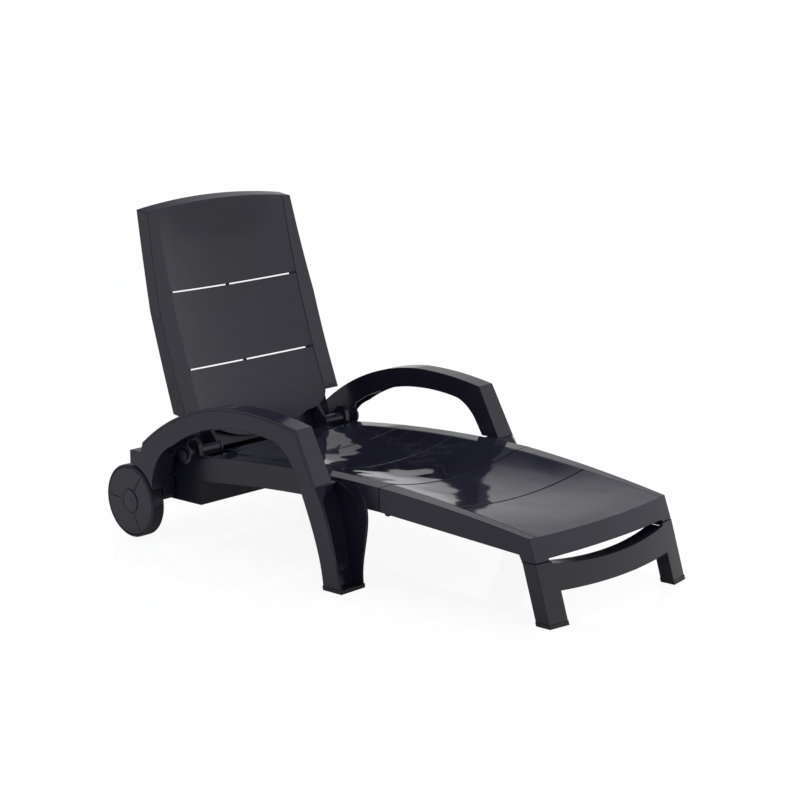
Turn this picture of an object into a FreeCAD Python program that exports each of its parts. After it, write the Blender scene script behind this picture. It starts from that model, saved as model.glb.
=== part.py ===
import FreeCAD, Part
import math
import os

# Reclining sun lounger, moulded resin, on two wheels.
# Millimetres. +Z up, the sitter's head toward +Y and feet toward -Y, the sitter's right at -X.
# The origin is on the ground, on the middle line, under the seam between seat and leg rest.

Vec = FreeCAD.Vector

# ---- driving dimensions ----------------------------------------------------------------
WALL = 4.0                      # moulded wall thickness
JOINT_GAP = 1.5                 # visible gap between two mouldings that move on each other
RUNNING_FIT = 0.05              # radial clearance of a pin or axle that turns
SEAT_CLEARANCE = 0.3            # between pieces that seat on each other

RAIL_HALF_WIDTH = 271.0         # seat and leg rest, outside of the side rails
RAIL_BORDER = 44.0              # flat border along the top of each rail
SEAM_TOP = 252.0                # height of the rails at the seam
SEAM_RAIL_HEIGHT = 60.0
SEAT_DISH = 27.0                # how deep the lying surface sags between the rails

SEAT_LENGTH = 640.0             # seam to the rear edge of the seat deck
SEAT_CROWN = 254.0              # rail height at half the seat length
SEAT_REAR_TOP = 233.0
SEAT_REAR_BOTTOM = 165.0
SEAT_REAR_LIP = 30.0            # flat lip behind the dished deck, in front of the back
SLIT_WIDTH = 4.0
GROOVE_WIDTH = 4.0
GROOVE_DEPTH = 1.5              # shallow grooves across the seat and the leg rest

LEG_REST_LENGTH = 458.0
LEG_REST_FRONT_TOP = 201.0
LEG_REST_FRONT_BOTTOM = 146.0
LEG_REST_CROWN_TOP = 232.0      # rail height at half the leg rest length
LEG_REST_FRONT_HALF_WIDTH = 249.0
LEG_REST_BLOCK_LENGTH = 41.0    # corner blocks that stand on the leg frame
FRONT_LEAN = 0.345              # run per rise of the leg rest's front
FRONT_BOW = 18.0                # how far the front bulges in plan

BACK_PIVOT_Y = SEAT_LENGTH + 53.0   # recline axis
BACK_PIVOT_Z = 240.0
BACK_LEAN = 15.1                # degrees behind upright, as stored
BACK_TOP = 639.0                # pivot to the front top corner
BACK_STILE_BOTTOM = 87.0
BACK_HALF_WIDTH = 273.0
BACK_TOP_HALF_WIDTH = 251.0
BACK_STILE_WIDTH = 50.0
BACK_THICKNESS = 44.5
BACK_TOP_THICKNESS = 39.0
BACK_FRONT = -0.5               # front line of the stiles at their ends, behind the pivot
BACK_HOLLOW = 13.0              # how far that line is hollow half way up
BACK_DISH = 33.0
BACK_TOP_ARCH = 19.0
BACK_PANEL_BOTTOM = -8.0
SLIT_HEIGHTS = (214.0, 425.0)
SLIT_HALF_LENGTH = 215.0
SLIT_BRIDGE = 10.0

KNUCKLE_RADIUS = 15.5
KNUCKLE_INNER = 187.0
KNUCKLE_OUTER = 255.0
HINGE_PIN_RADIUS = 6.0
CHEEK_INNER = 258.0
CHEEK_OUTER = RAIL_HALF_WIDTH   # the cheek carries on the rail's side face

ARM_INNER = 300.0
ARM_TOP_WIDTH = 52.0
ARM_FOOT_FLARE = 15.5           # how much further out the arm is at the ground
ARM_CORNER_Y = 197.0
ARM_CORNER_Z = 381.0
ARM_CROWN_Y = ARM_CORNER_Y + 233.0
ARM_CROWN_Z = 404.0
ARM_BAND = 52.0                 # depth of the arch at its crown
ARM_REAR_Y = BACK_PIVOT_Y + 163.0
ARM_REAR_TOP = 239.0
ARM_FOOT_FRONT = 42.0
ARM_FOOT_DEPTH = 63.0
ARM_FOOT_INNER = 290.0
GUSSET_FRONT = 68.0
LINTEL_FRONT = 140.0            # front of the web over the leg's recess, at the rail

WHEEL_RADIUS = 99.0
WHEEL_Y = BACK_PIVOT_Y + 168.0
WHEEL_INNER = 326.5
WHEEL_WIDTH = 38.0
WHEEL_CLEARANCE = 5.0
WHEEL_DISC_RADIUS = 92.0
HUB_RADIUS = 20.0
HUB_CAP_RADIUS = 33.0
AXLE_RADIUS = 6.0
AXLE_TUBE_RADIUS = 12.0
BRACKET_FRONT = BACK_PIVOT_Y + 88.0
BRACKET_REAR = WHEEL_Y + 23.0
BRACKET_TOP = 225.0
BRACKET_BOTTOM = 84.0
BRACKET_OUTER = 321.0
BRACKET_CLEARANCE = 2.0         # beside the back as it comes down between the brackets

BOX_FRONT = SEAT_LENGTH + 37.0
BOX_REAR = WHEEL_Y + 69.0
BOX_BOTTOM = 98.0
BOX_TOP = 165.0
BOX_REAR_TOP = 200.0            # the rear wall stands higher, under the back when it is flat

PROP_PIVOT_U = 175.0            # prop pivot, along the back from the recline axis
PROP_PIVOT_N = 62.0             # and behind the back's front line
PROP_LENGTH = 198.0
PROP_OPEN = 28.0                # degrees between prop and back at rest
PROP_SHUT = 18.0                # and fully reclined
RECLINE = 68.0                  # degrees from rest to fully reclined
PROP_HALF_WIDTH = 168.0
PROP_ROD_RADIUS = 7.0           # foot bar
PROP_LEG_RADIUS = 6.0           # and the two legs above it
PROP_PIN_RADIUS = 4.0
GUIDE_INNER = 182.0
GUIDE_THICKNESS = 6.0
GUIDE_POSITIONS = 5

LEG_HALF_WIDTH = 250.0
LEG_WIDTH = 54.0
LEG_DEPTH = 40.0
LEG_FRAME_TOP = 144.5
LEG_LEAN = 0.28
LEG_BOW = 26.0                  # how far the leg frame bulges in plan
CROSSBAR_TOP = 124.0
CROSSBAR_TOP_RISE = 15.0
CROSSBAR_BOTTOM = 71.0
CROSSBAR_BOTTOM_RISE = 6.0
LEG_FRAME_PIVOT_Y = 31.0 - LEG_REST_LENGTH
LEG_FRAME_PIVOT_Z = 140.0
CAP_HEIGHT = 10.0
CAP_FLARE = 1.0

SMALL_PIN_RADIUS = 4.0
LUG_RADIUS = 7.5
LUG_THICKNESS = 6.0
SMALL_HINGE_X = 236.0           # middle of each leg rest hinge
LEG_REST_PIVOT_Z = 183.0
LEG_FRAME_HINGE_X = 222.0       # middle of each leg frame hinge

SCREW_RADIUS = 2.5
SCREW_HEAD_RADIUS = 5.0
SCREW_HEAD_HEIGHT = 3.0
SCREW_LENGTH = 9.0

# ---- worked-out sizes ------------------------------------------------------------------
SEAM_BOTTOM = SEAM_TOP - SEAM_RAIL_HEIGHT
DISH_HALF = RAIL_HALF_WIDTH - RAIL_BORDER
MIDDLE_Y = (WHEEL_Y + WHEEL_RADIUS - LEG_REST_LENGTH - 71.0) / 2    # half the whole length
HALF_GAP = JOINT_GAP / 2
ARM_OUTER = ARM_INNER + ARM_TOP_WIDTH
ARM_FOOT_OUTER = ARM_OUTER + ARM_FOOT_FLARE
WHEEL_OUTER = WHEEL_INNER + WHEEL_WIDTH
AXLE_Z = WHEEL_RADIUS
PIN_BORE = SMALL_PIN_RADIUS + RUNNING_FIT
FAR = 900.0                     # long enough to cut right through


# ---- small modelling helpers -----------------------------------------------------------
def block(x0, x1, y0, y1, z0, z1):
    return Part.makeBox(x1 - x0, y1 - y0, z1 - z0, Vec(x0, y0, z0))


def rod(x0, x1, y, z, radius):
    return Part.makeCylinder(radius, x1 - x0, Vec(x0, y, z), Vec(1, 0, 0))


def face_of(place, runs):
    """A flat face from runs of 2-D points: a pair is a line, three are an arc."""
    edges = []
    for run in runs:
        ends = [place(*point) for point in run]
        if len(ends) == 3:
            edges.append(Part.Arc(*ends).toShape())
        else:
            edges.extend(Part.makeLine(a, b) for a, b in zip(ends, ends[1:]))
    return Part.Face(Part.Wire(edges))


def closed(points):
    """Straight runs round a polygon."""
    return [(a, b) for a, b in zip(points, points[1:] + points[:1])]


def side_prism(runs, x0, x1):
    """A side outline (y, z) carried across from x0 to x1."""
    return face_of(lambda y, z: Vec(x0, y, z), runs).extrude(Vec(x1 - x0, 0, 0))


def loft(sections):
    wires = [Part.makePolygon([Vec(*p) for p in s + s[:1]]) for s in sections]
    return Part.makeLoft(wires, True)


def mirrored(shape):
    return shape.mirror(Vec(0, 0, 0), Vec(1, 0, 0))


def both_sides(shape):
    return Part.makeCompound([shape, mirrored(shape)])


def save(name, shape):
    shape.translated(Vec(0, -MIDDLE_Y, 0)).exportStep("parts/" + name + ".step")


def arc_height(ends, middle, at):
    """Height at a place on the circular arc through two ends and a middle point."""
    (x0, z0), (x1, z1), (xm, zm) = ends[0], ends[1], middle
    circle = Part.Arc(Vec(x0, 0, z0), Vec(xm, 0, zm), Vec(x1, 0, z1)).toShape().Curve
    rise = math.sqrt(circle.Radius ** 2 - (at - circle.Center.x) ** 2)
    return circle.Center.z + math.copysign(rise, zm - circle.Center.z)


def deck_section(y, rim, sag, drop, reach):
    """Cross-section at y: flat border, dished middle, closed by a line at height reach."""
    side = RAIL_HALF_WIDTH + 60.0
    z = rim - drop
    middle = Part.Arc(Vec(-DISH_HALF, y, z), Vec(0, y, z - sag), Vec(DISH_HALF, y, z)).toShape()
    corners = [Vec(DISH_HALF, y, z), Vec(side, y, z), Vec(side, y, reach)]
    corners += [Vec(-side, y, reach), Vec(-side, y, z), Vec(-DISH_HALF, y, z)]
    edges = [middle] + [Part.makeLine(a, b) for a, b in zip(corners, corners[1:])]
    return Part.Wire(edges)


def deck_tool(stations, drop, reach):
    """Everything on one side of a dished deck, from (y, rim, sag) stations."""
    return Part.makeLoft([deck_section(y, rim, sag, drop, reach) for y, rim, sag in stations], True)


def groove_strip(y):
    half = DISH_HALF + 3.0
    return block(-half, half, y - GROOVE_WIDTH / 2, y + GROOVE_WIDTH / 2, 150.0, SEAM_TOP + 60.0)


# ---- seat ------------------------------------------------------------------------------
SEAT_ENDS = ((0.0, SEAM_TOP), (SEAT_LENGTH, SEAT_REAR_TOP))
SEAT_MIDDLE = (SEAT_LENGTH / 2, SEAT_CROWN)


def seat_rim(y):
    return arc_height(SEAT_ENDS, SEAT_MIDDLE, y)


def seat_stations(first, last):
    places = [first + (last - first) * k / 4 for k in range(5)]
    rims = [seat_rim(min(max(y, 0), SEAT_LENGTH)) for y in places]
    return list(zip(places, rims, (SEAT_DISH, SEAT_DISH, 24.0, 14.0, 1.0)))


def hinge_cheek():
    """The upright plate that carries one recline pin, outside the back's knuckle."""
    rear = BRACKET_FRONT - JOINT_GAP
    crown = BACK_PIVOT_Z + KNUCKLE_RADIUS + 18.0
    outline = [(SEAT_LENGTH - WALL, SEAT_REAR_BOTTOM), (SEAT_LENGTH - WALL, SEAT_REAR_TOP)]
    outline += [(BACK_PIVOT_Y - 22.0, SEAT_REAR_TOP), (BACK_PIVOT_Y - 18.0, crown - 12.0)]
    outline += [(BACK_PIVOT_Y - 6.0, crown)]
    outline += [(BACK_PIVOT_Y + 14.0, crown - 4.0), (BACK_PIVOT_Y + 61.0, BACK_PIVOT_Z - 19.0)]
    outline += [(rear, BACK_PIVOT_Z - 69.0), (rear, SEAT_REAR_BOTTOM)]
    return side_prism(closed(outline), CHEEK_INNER, CHEEK_OUTER)


def leg_rest_lug(x, toward):
    """A hinge lug at the bottom of the seam; toward is +1 on the seat, -1 on the leg rest."""
    disc = rod(x, x + LUG_THICKNESS, 0, LEG_REST_PIVOT_Z, LUG_RADIUS)
    web_y = sorted((toward * HALF_GAP, toward * (HALF_GAP + WALL + 3.0)))
    web = block(x, x + LUG_THICKNESS, web_y[0], web_y[1], LEG_REST_PIVOT_Z, SEAM_BOTTOM + 12.0)
    return disc.fuse(web)


def leg_rest_pin_hole():
    reach = SMALL_HINGE_X + 3 * LUG_THICKNESS
    return rod(SMALL_HINGE_X - 3 * LUG_THICKNESS, reach, 0, LEG_REST_PIVOT_Z, PIN_BORE)


def seat_shell():
    top = [(HALF_GAP, SEAM_TOP), SEAT_MIDDLE, (SEAT_LENGTH, SEAT_REAR_TOP)]
    bottom_crown = SEAT_CROWN - SEAM_RAIL_HEIGHT - 4.0
    bottom = [(SEAT_LENGTH, SEAT_REAR_BOTTOM), (SEAT_LENGTH / 2, bottom_crown), (HALF_GAP, SEAM_BOTTOM)]
    rails = [top, (top[-1], bottom[0]), bottom, (bottom[-1], top[0])]
    shell = side_prism(rails, -RAIL_HALF_WIDTH, RAIL_HALF_WIDTH)
    above = seat_stations(-30.0, SEAT_LENGTH + 30.0)
    shell = shell.cut(deck_tool(above, 0.0, SEAT_CROWN + 60.0))
    inner = RAIL_HALF_WIDTH - WALL
    hollow = deck_tool(seat_stations(HALF_GAP + WALL, SEAT_LENGTH - WALL), WALL, 100.0)
    hollow = hollow.common(block(-inner, inner, 0, SEAT_LENGTH, 90.0, SEAT_CROWN))
    shell = shell.cut(hollow)
    for y in (SEAT_LENGTH * 0.22, SEAT_LENGTH * 0.5, SEAT_LENGTH * 0.78):
        rib = block(-inner, inner, y - WALL / 2, y + WALL / 2, SEAM_BOTTOM + 22.0, SEAT_CROWN)
        shell = shell.fuse(rib.common(hollow))
    grooved = deck_tool(above, GROOVE_DEPTH, SEAT_CROWN + 60.0)
    for y in (SEAT_LENGTH * 0.36, SEAT_LENGTH * 0.69):
        shell = shell.cut(groove_strip(y).common(grooved))
    lip_half = KNUCKLE_INNER - 5.0
    lip = block(-lip_half, lip_half, SEAT_LENGTH - WALL, SEAT_LENGTH + SEAT_REAR_LIP,
                SEAT_REAR_TOP - WALL, SEAT_REAR_TOP)
    shell = shell.fuse(lip)
    cheek = hinge_cheek()
    bore = rod(CHEEK_INNER - 1, CHEEK_OUTER + 1, BACK_PIVOT_Y, BACK_PIVOT_Z, HINGE_PIN_RADIUS)
    cheek = cheek.cut(bore)
    for place in box_screw_places():
        cheek = cheek.cut(screw(place, Vec(0, 0, 1)))
    lug_x = SMALL_HINGE_X - LUG_THICKNESS / 2
    step = LUG_THICKNESS + SEAT_CLEARANCE
    lugs = leg_rest_lug(lug_x - step, 1).fuse(leg_rest_lug(lug_x + step, 1))
    fixing = cheek.fuse(lugs).cut(leg_rest_pin_hole())
    for place in arm_screw_places():
        hole = screw(place, Vec(1, 0, 0))
        shell = shell.cut(hole).cut(mirrored(hole))
    return shell.fuse(fixing).fuse(mirrored(fixing)).removeSplitter()


# ---- leg rest --------------------------------------------------------------------------
LEG_REST_ENDS = ((-LEG_REST_LENGTH, LEG_REST_FRONT_TOP), (0.0, SEAM_TOP))
LEG_REST_MIDDLE = (-LEG_REST_LENGTH / 2, LEG_REST_CROWN_TOP)


def leaning_plan(half_rear, half_front, front, bow, lean, z0, z1):
    """A plan outline with a bowed front, carried up along a lean."""
    def place(x, y):
        return Vec(x, y - lean * (LEG_REST_FRONT_TOP - z0), z0)
    rear = 120.0
    runs = [((half_front, front), (0.0, front - bow), (-half_front, front))]
    runs += [((-half_front, front), (-half_rear, 0.0)), ((-half_rear, 0.0), (-half_rear, rear))]
    runs += [((-half_rear, rear), (half_rear, rear)), ((half_rear, rear), (half_rear, 0.0))]
    runs += [((half_rear, 0.0), (half_front, front))]
    rise = z1 - z0
    return face_of(place, runs).extrude(Vec(0, lean * rise, rise))


def leg_rest_stations(first, last):
    places = [first + (last - first) * k / 4 for k in range(5)]
    sags = (0.5, 9.0, 20.0, 25.0, SEAT_DISH)
    reached = [min(max(y, -LEG_REST_LENGTH - 10), 0) for y in places]
    rims = [arc_height(LEG_REST_ENDS, LEG_REST_MIDDLE, y) for y in reached]
    return list(zip(places, rims, sags))


def leg_frame_lug(x, reach):
    disc = rod(x, x + LUG_THICKNESS, LEG_FRAME_PIVOT_Y, LEG_FRAME_PIVOT_Z, LUG_RADIUS)
    web = block(x, x + LUG_THICKNESS, LEG_FRAME_PIVOT_Y - LUG_RADIUS, LEG_FRAME_PIVOT_Y + LUG_RADIUS,
                LEG_FRAME_PIVOT_Z, reach)
    return disc.fuse(web)


def leg_frame_pin_hole():
    reach = LEG_FRAME_HINGE_X + 3 * LUG_THICKNESS
    start = LEG_FRAME_HINGE_X - 3 * LUG_THICKNESS
    return rod(start, reach, LEG_FRAME_PIVOT_Y, LEG_FRAME_PIVOT_Z, PIN_BORE)


def leg_rest_shell():
    front = -LEG_REST_LENGTH
    block_rear = front + LEG_REST_BLOCK_LENGTH - 20.0
    deep = front - 60.0
    rail_bottom = LEG_REST_FRONT_BOTTOM + 14.0
    top = [(deep, LEG_REST_FRONT_TOP - 9.0), (front, LEG_REST_FRONT_TOP)]
    crown = [(front, LEG_REST_FRONT_TOP), LEG_REST_MIDDLE, (-HALF_GAP, SEAM_TOP)]
    lower = [(-HALF_GAP, SEAM_BOTTOM), (front / 2, LEG_REST_CROWN_TOP - 57.0)]
    lower += [(block_rear + 8.0, rail_bottom)]
    runs = [tuple(top), crown, (crown[-1], lower[0]), lower]
    runs += [(lower[-1], (block_rear, LEG_REST_FRONT_BOTTOM))]
    runs += [((block_rear, LEG_REST_FRONT_BOTTOM), (deep, LEG_REST_FRONT_BOTTOM))]
    runs += [((deep, LEG_REST_FRONT_BOTTOM), top[0])]
    sides = side_prism(runs, -FAR, FAR)
    half_front = LEG_REST_FRONT_HALF_WIDTH
    outer = leaning_plan(RAIL_HALF_WIDTH, half_front, front, FRONT_BOW, FRONT_LEAN, 100.0, 300.0)
    shell = sides.common(outer)
    shell = shell.cut(deck_tool(leg_rest_stations(front - 6.0, 0.0), 0.0, SEAM_TOP + 60.0))
    grooved = deck_tool(leg_rest_stations(front - 6.0, 0.0), 2 * GROOVE_DEPTH, SEAM_TOP + 60.0)
    inner = leaning_plan(RAIL_HALF_WIDTH - WALL, LEG_REST_FRONT_HALF_WIDTH - WALL, front + WALL + 1.0,
                         FRONT_BOW, FRONT_LEAN, 100.0, 300.0)
    hollow = deck_tool(leg_rest_stations(front - 40.0, -HALF_GAP - WALL), WALL, 90.0).common(inner)
    shell = shell.cut(hollow)
    arch_half = LEG_HALF_WIDTH - LEG_WIDTH + 12.0
    low = LEG_REST_FRONT_BOTTOM
    arch = block(-arch_half, arch_half, deep, front + 20.0, low - 1.0, low + 5.0)
    shell = shell.cut(arch)
    for share in (0.25, 0.48, 0.72):
        y = front * share
        rib = block(-FAR, FAR, y - WALL / 2, y + WALL / 2, SEAM_BOTTOM - 2.0, SEAM_TOP).common(hollow)
        shell = shell.fuse(rib)
    shell = shell.cut(groove_strip(front * 0.48).common(grooved))
    step = LUG_THICKNESS + SEAT_CLEARANCE
    lug_x = LEG_FRAME_HINGE_X - LUG_THICKNESS / 2
    reach = LEG_REST_FRONT_TOP + WALL - 1.0
    frame_lugs = leg_frame_lug(lug_x - step, reach).fuse(leg_frame_lug(lug_x + step, reach))
    lugs = leg_rest_lug(SMALL_HINGE_X - LUG_THICKNESS / 2, -1).fuse(frame_lugs)
    lugs = lugs.cut(leg_rest_pin_hole()).cut(leg_frame_pin_hole())
    return shell.fuse(lugs).fuse(mirrored(lugs)).removeSplitter()


# ---- back ------------------------------------------------------------------------------
def on_back(shape):
    """From the back's own frame (x, n rearward, u upward) to its place at rest."""
    turned = shape.copy()
    turned.rotate(Vec(0, 0, 0), Vec(1, 0, 0), -BACK_LEAN)
    turned.translate(Vec(0, BACK_PIVOT_Y, BACK_PIVOT_Z))
    return turned


def back_front(u):
    """How far the stiles' front line is behind the pivot plane at height u."""
    middle = (BACK_STILE_BOTTOM + BACK_TOP) / 2
    half = (BACK_TOP - BACK_STILE_BOTTOM) / 2
    away = min(abs(u - middle), half) / half
    return BACK_FRONT + BACK_HOLLOW * (1 - away ** 2)


def back_dish(u):
    """Depth of the dish at height u; it runs out toward the top edge."""
    share = min(1.0, max(0.0, (BACK_TOP + 8.0 - u) / 120.0))
    return BACK_DISH * (0.1 + 0.9 * share * share * (3 - 2 * share))


def back_outline(inset):
    """Front view (x, u) of the back, inset all round."""
    low = BACK_STILE_BOTTOM + inset
    wide = BACK_HALF_WIDTH - inset
    shoulder = (BACK_TOP + BACK_STILE_BOTTOM) / 2
    top = (BACK_TOP_HALF_WIDTH - inset, BACK_TOP - inset)
    panel = BACK_HALF_WIDTH - BACK_STILE_WIDTH + 2.0 - inset
    round_end = (panel - 64.0, BACK_PANEL_BOTTOM + 43.0 + inset)
    round_mid = (panel - 17.0, BACK_PANEL_BOTTOM + 64.0 + inset)
    right = [((panel, low), (wide, low)), ((wide, low), (wide, shoulder)), ((wide, shoulder), top)]
    crown = (top, (0.0, BACK_TOP + BACK_TOP_ARCH - inset), (-top[0], top[1]))
    left = [((-top[0], top[1]), (-wide, shoulder)), ((-wide, shoulder), (-wide, low))]
    left += [((-wide, low), (-panel, low))]
    bottom = [((-panel, low), (-round_mid[0], round_mid[1]), (-round_end[0], round_end[1]))]
    bottom += [((-round_end[0], round_end[1]), (0.0, BACK_PANEL_BOTTOM + inset), round_end)]
    bottom += [(round_end, round_mid, (panel, low))]
    return right + [crown] + left + bottom


def back_slab(inset, n0, n1):
    """The front view carried rearward; the top face rises to the rear."""
    rise = 0.44 * (n1 - n0)
    face = face_of(lambda x, u: Vec(x, n0, u + 0.44 * n0), back_outline(inset))
    return face.extrude(Vec(0, n1 - n0, rise))


def back_section(u, drop, reach):
    panel = BACK_HALF_WIDTH - BACK_STILE_WIDTH
    n = back_front(u) + drop
    side = BACK_HALF_WIDTH + 40.0
    middle = Part.Arc(Vec(-panel, n, u), Vec(0, n + back_dish(u), u), Vec(panel, n, u)).toShape()
    corners = [Vec(panel, n, u), Vec(side, n, u), Vec(side, reach, u), Vec(-side, reach, u)]
    corners += [Vec(-side, n, u), Vec(-panel, n, u)]
    return Part.Wire([middle] + [Part.makeLine(a, b) for a, b in zip(corners, corners[1:])])


def back_tool(drop, reach):
    stations = (-80.0, 0.0, 80.0, 180.0, 280.0, 380.0, 480.0, 560.0, 625.0, 690.0)
    return Part.makeLoft([back_section(u, drop, reach) for u in stations], True)


def backrest_shell():
    low_rear = (BACK_THICKNESS, -40.0)
    rear = [low_rear, (BACK_THICKNESS + 8.0, BACK_TOP / 2), (BACK_TOP_THICKNESS + 1.0, BACK_TOP + 60.0)]
    runs = [rear, (rear[-1], (-60.0, BACK_TOP + 60.0))]
    runs += [((-60.0, BACK_TOP + 60.0), (-60.0, -40.0)), ((-60.0, -40.0), low_rear)]
    sides = side_prism(runs, -FAR, FAR)
    shell = back_slab(0.0, -60.0, 90.0).common(sides).cut(back_tool(0.0, -90.0))
    hollow = back_tool(WALL, 120.0).common(back_slab(WALL, -60.0, 120.0))
    shell = shell.cut(hollow)
    panel = BACK_HALF_WIDTH - BACK_STILE_WIDTH
    for side in (-1, 1):
        x0, x1 = sorted((side * (panel + 2.0), side * (panel - 2.0)))
        rib = block(x0, x1, 0, BACK_THICKNESS - 4.0, BACK_STILE_BOTTOM + 2.0, BACK_TOP - 10.0)
        shell = shell.fuse(rib.common(hollow))
    for u in SLIT_HEIGHTS:
        for side in (-1, 1):
            x0, x1 = sorted((side * SLIT_BRIDGE / 2, side * SLIT_HALF_LENGTH))
            shell = shell.cut(block(x0, x1, -20.0, 80.0, u - SLIT_WIDTH / 2, u + SLIT_WIDTH / 2))
    fittings = back_fittings()
    shell = shell.fuse(fittings).fuse(mirrored(fittings)).fuse(back_lower_web())
    return on_back(shell.removeSplitter())


def back_lower_web():
    """A cross plate from knuckle to knuckle that closes the back's lower edge from behind."""
    top, bottom = BACK_STILE_BOTTOM + 16.0, -2.0
    web = [(BACK_THICKNESS, top), (BACK_THICKNESS - WALL, top)]
    web += [(BACK_THICKNESS - WALL, bottom), (BACK_THICKNESS, bottom)]
    return side_prism(closed(web), -KNUCKLE_OUTER, KNUCKLE_OUTER)


def back_fittings():
    """One side's hinge arm with its knuckle, and the two ears that hold the prop."""
    arm = [(22.0, BACK_STILE_BOTTOM - 12.0), (-KNUCKLE_RADIUS + 1.0, 3.0), (KNUCKLE_RADIUS - 1.0, -3.0)]
    arm += [(BACK_THICKNESS, 22.0), (BACK_THICKNESS, BACK_STILE_BOTTOM + 10.0)]
    fittings = side_prism(closed(arm), KNUCKLE_INNER, KNUCKLE_INNER + 2 * LUG_THICKNESS)
    fittings = fittings.fuse(rod(KNUCKLE_INNER, KNUCKLE_OUTER, 0, 0, KNUCKLE_RADIUS))
    fittings = fittings.fuse(rod(KNUCKLE_INNER, KNUCKLE_INNER + LUG_THICKNESS, 0, 0, KNUCKLE_RADIUS + 3.0))
    fittings = fittings.cut(rod(KNUCKLE_INNER - 1, KNUCKLE_OUTER + 1, 0, 0, HINGE_PIN_RADIUS + RUNNING_FIT))
    in_front = back_tool(1.0, -90.0)
    for x in prop_ears():
        ear = [(20.0, PROP_PIVOT_U - 20.0), (20.0, PROP_PIVOT_U + 20.0)]
        ear += [(PROP_PIVOT_N + 6.0, PROP_PIVOT_U + 6.0), (PROP_PIVOT_N + 6.0, PROP_PIVOT_U - 6.0)]
        fittings = fittings.fuse(side_prism(closed(ear), x, x + LUG_THICKNESS).cut(in_front))
    bore = PROP_PIN_RADIUS + RUNNING_FIT
    reach = PROP_HALF_WIDTH + 3 * LUG_THICKNESS
    hole = rod(PROP_HALF_WIDTH - 3 * LUG_THICKNESS, reach, PROP_PIVOT_N, PROP_PIVOT_U, bore)
    return fittings.cut(hole)


def prop_ears():
    inner = PROP_HALF_WIDTH - PROP_ROD_RADIUS - SEAT_CLEARANCE - LUG_THICKNESS
    return (inner, PROP_HALF_WIDTH + PROP_ROD_RADIUS + SEAT_CLEARANCE)


# ---- prop and its guides ---------------------------------------------------------------
def back_point(u, n, recline):
    """Where a point of the back is, in (y, z), after reclining by some degrees."""
    lean = math.radians(BACK_LEAN + recline)
    y = BACK_PIVOT_Y + u * math.sin(lean) + n * math.cos(lean)
    z = BACK_PIVOT_Z + u * math.cos(lean) - n * math.sin(lean)
    return y, z


def prop_foot(recline):
    """Middle of the prop's foot bar after reclining by some degrees."""
    opening = PROP_OPEN + (PROP_SHUT - PROP_OPEN) * recline / RECLINE
    angle = math.radians(opening - BACK_LEAN - recline)
    y, z = back_point(PROP_PIVOT_U, PROP_PIVOT_N, recline)
    return y + PROP_LENGTH * math.sin(angle), z - PROP_LENGTH * math.cos(angle)


def rod_between(a, b, radius):
    return Part.makeCylinder(radius, (b - a).Length, a, b - a)


def prop_bail():
    y0, z0 = back_point(PROP_PIVOT_U, PROP_PIVOT_N, 0.0)
    y1, z1 = prop_foot(0.0)
    top, foot = Vec(PROP_HALF_WIDTH, y0, z0), Vec(PROP_HALF_WIDTH, y1, z1)
    leg = rod_between(top, foot, PROP_LEG_RADIUS)
    x0, x1 = PROP_HALF_WIDTH - PROP_ROD_RADIUS, PROP_HALF_WIDTH + PROP_ROD_RADIUS
    eye = rod(x0, x1, y0, z0, PROP_ROD_RADIUS + 3)
    bore = PROP_PIN_RADIUS + RUNNING_FIT
    leg = leg.fuse(eye).cut(rod(PROP_HALF_WIDTH - 12.0, PROP_HALF_WIDTH + 12.0, y0, z0, bore))
    end = GUIDE_INNER + GUIDE_THICKNESS + 4.0
    return leg.fuse(mirrored(leg)).fuse(rod(-end, end, y1, z1, PROP_ROD_RADIUS)).removeSplitter()


def guide_edge(recline, offset):
    """A point beside the foot bar's path, offset to its upper side."""
    y, z = prop_foot(recline)
    (ya, za), (yb, zb) = prop_foot(recline - 0.5), prop_foot(recline + 0.5)
    run = math.hypot(yb - ya, zb - za)
    return y + (zb - za) / run * offset, z - (yb - ya) / run * offset


def path_strip(half, first, last, x0, x1):
    """The band swept by the foot bar between two back positions."""
    stops = [first + (last - first) * k / 12 for k in range(13)]
    outline = [guide_edge(stop, half) for stop in stops]
    outline += [guide_edge(stop, -half) for stop in reversed(stops)]
    ends = [rod(x0, x1, *prop_foot(stop), half) for stop in (first, last)]
    return side_prism(closed(outline), x0, x1).fuse(ends)


def prop_guide():
    """One side's plate: a curved slot with a pocket at each back position."""
    slot = PROP_ROD_RADIUS + 0.8
    x0, x1 = GUIDE_INNER, GUIDE_INNER + GUIDE_THICKNESS
    floor = BOX_BOTTOM + WALL
    rear_y, rear_z = prop_foot(0.0)
    plate = path_strip(slot + 5.0, 0.0, RECLINE, x0, x1)
    below = [(rear_y + slot + 5.0, rear_z), (rear_y + slot + 5.0, floor), (BOX_FRONT + WALL + 1.0, floor)]
    below += [prop_foot(RECLINE * k / 4) for k in (4, 3, 2, 1, 0)]
    plate = plate.fuse(side_prism(closed(below), x0, x1))
    front_stop = BOX_FRONT + WALL + SEAT_CLEARANCE
    plate = plate.common(block(x0, x1, front_stop, BOX_REAR, floor, FAR))
    plate = plate.cut(path_strip(slot, 0.0, RECLINE, x0 - 1, x1 + 1))
    for k in range(GUIDE_POSITIONS):
        y, z = prop_foot(RECLINE * k / (GUIDE_POSITIONS - 1))
        plate = plate.cut(rod(x0 - 1, x1 + 1, y + 3.0, z - 2.0, PROP_ROD_RADIUS + 0.4))
    foot = block(x0, x1 + 20.0, BOX_FRONT + 50.0, BOX_FRONT + 150.0, floor, floor + WALL)
    plate = plate.fuse(foot)
    plate = plate.cut(rod(x0 - 1, FAR, WHEEL_Y, AXLE_Z, AXLE_TUBE_RADIUS + SEAT_CLEARANCE))
    for place in guide_screw_places():
        plate = plate.cut(screw(place, Vec(0, 0, 1)))
    return plate.removeSplitter()


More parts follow.
